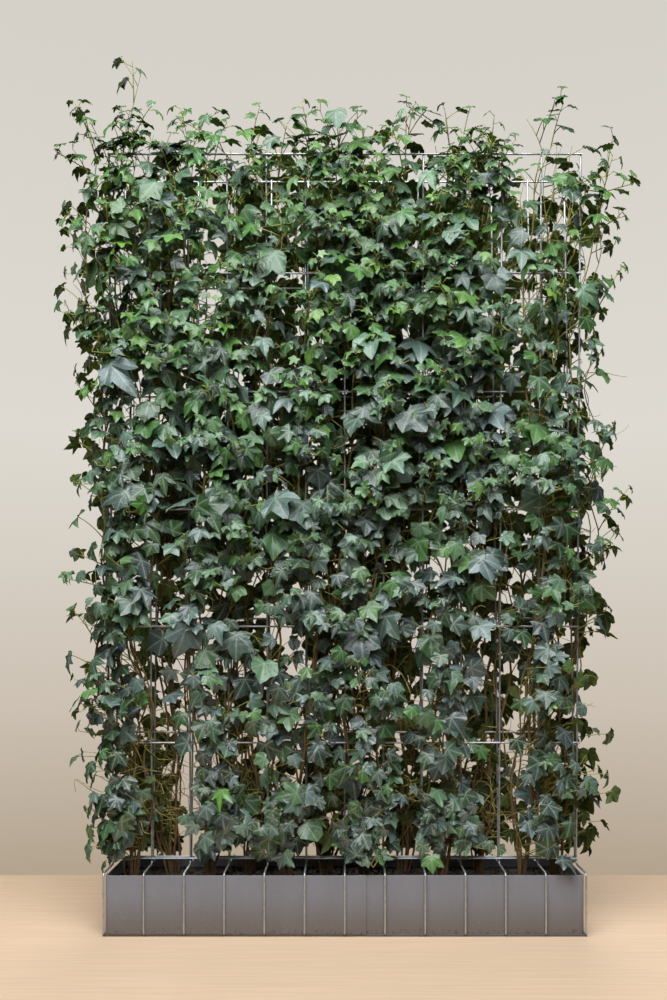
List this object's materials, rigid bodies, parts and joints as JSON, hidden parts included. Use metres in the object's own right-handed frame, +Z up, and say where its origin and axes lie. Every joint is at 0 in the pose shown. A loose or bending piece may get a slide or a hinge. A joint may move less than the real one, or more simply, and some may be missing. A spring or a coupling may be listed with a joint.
{
  "type": "potted ivy screen",
  "caption": "Free-standing ivy hedge: vines climbing two leaning welded-wire panels that rise from a long, shallow grey sheet trough held in the same bent wire.",
  "frame": {"origin": "on the ground under the middle of the trough, on the underside of the middle wire", "axes": "+X along the trough to the right as seen from the front, +Y from the front to the back, +Z up"},
  "size_m": [1.4324, 0.42, 2.1534],
  "materials": {
    "galvanised_wire": "satin",
    "grey_sheet": "satin",
    "potting_soil": "matte",
    "ivy_bark": "matte",
    "ivy_leaf": "satin"
  },
  "bodies": {
    "root": {"front_mat": "galvanised_wire", "back_mat": "galvanised_wire", "front_sheet_left": "grey_sheet", "front_sheet_right": "grey_sheet", "back_sheet_left": "grey_sheet", "back_sheet_right": "grey_sheet", "base_sheet": "grey_sheet", "left_end_sheet": "grey_sheet", "right_end_sheet": "grey_sheet", "potting_soil": "potting_soil", "vine_01": "ivy_bark", "vine_02": "ivy_bark", "vine_03": "ivy_bark", "vine_04": "ivy_bark", "vine_05": "ivy_bark", "vine_06": "ivy_bark", "vine_07": "ivy_bark", "vine_08": "ivy_bark", "vine_09": "ivy_bark", "vine_10": "ivy_bark", "vine_11": "ivy_bark", "vine_12": "ivy_bark", "foliage_01": "ivy_leaf", "foliage_02": "ivy_leaf", "foliage_03": "ivy_leaf", "foliage_04": "ivy_leaf", "foliage_05": "ivy_leaf", "foliage_06": "ivy_leaf", "foliage_07": "ivy_leaf", "foliage_08": "ivy_leaf", "foliage_09": "ivy_leaf", "foliage_10": "ivy_leaf", "foliage_11": "ivy_leaf", "foliage_12": "ivy_leaf"}
  },
  "joints": []
}
